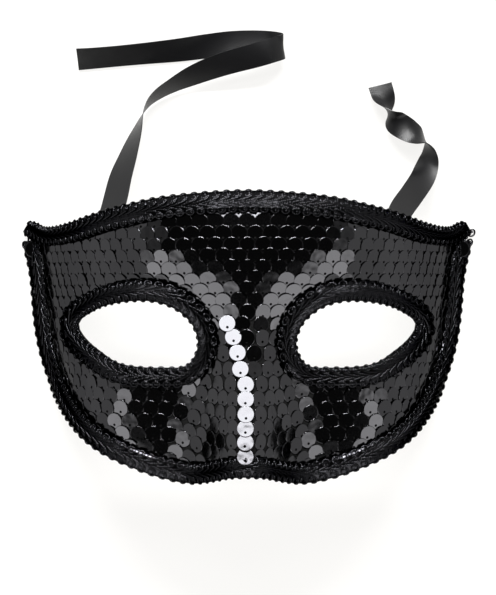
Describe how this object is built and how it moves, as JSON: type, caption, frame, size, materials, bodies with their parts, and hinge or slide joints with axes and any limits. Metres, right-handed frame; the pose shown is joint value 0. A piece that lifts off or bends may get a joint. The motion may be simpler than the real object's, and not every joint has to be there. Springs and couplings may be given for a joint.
{
  "type": "sequined half mask",
  "caption": "Black sequined half mask with gimp braid edges, open eyes and two satin tie ribbons, lying face up.",
  "frame": {"origin": "bottom centre of the mask's box without its ribbons, on the surface that it lies on", "axes": "+X across the mask to the viewer's right, +Y towards the forehead, +Z out of the face"},
  "size_m": [0.167, 0.165, 0.0758],
  "materials": {
    "shell": "satin",
    "sequins": "gloss",
    "braid": "satin",
    "ribbon": "satin"
  },
  "bodies": {
    "root": {"mask_shell": "shell", "sequin_cloth": "sequins", "brow_braid": "braid", "cheek_braid": "braid", "left_eye_braid": "braid", "right_eye_braid": "braid", "left_ribbon": "ribbon", "right_ribbon": "ribbon"}
  },
  "joints": []
}
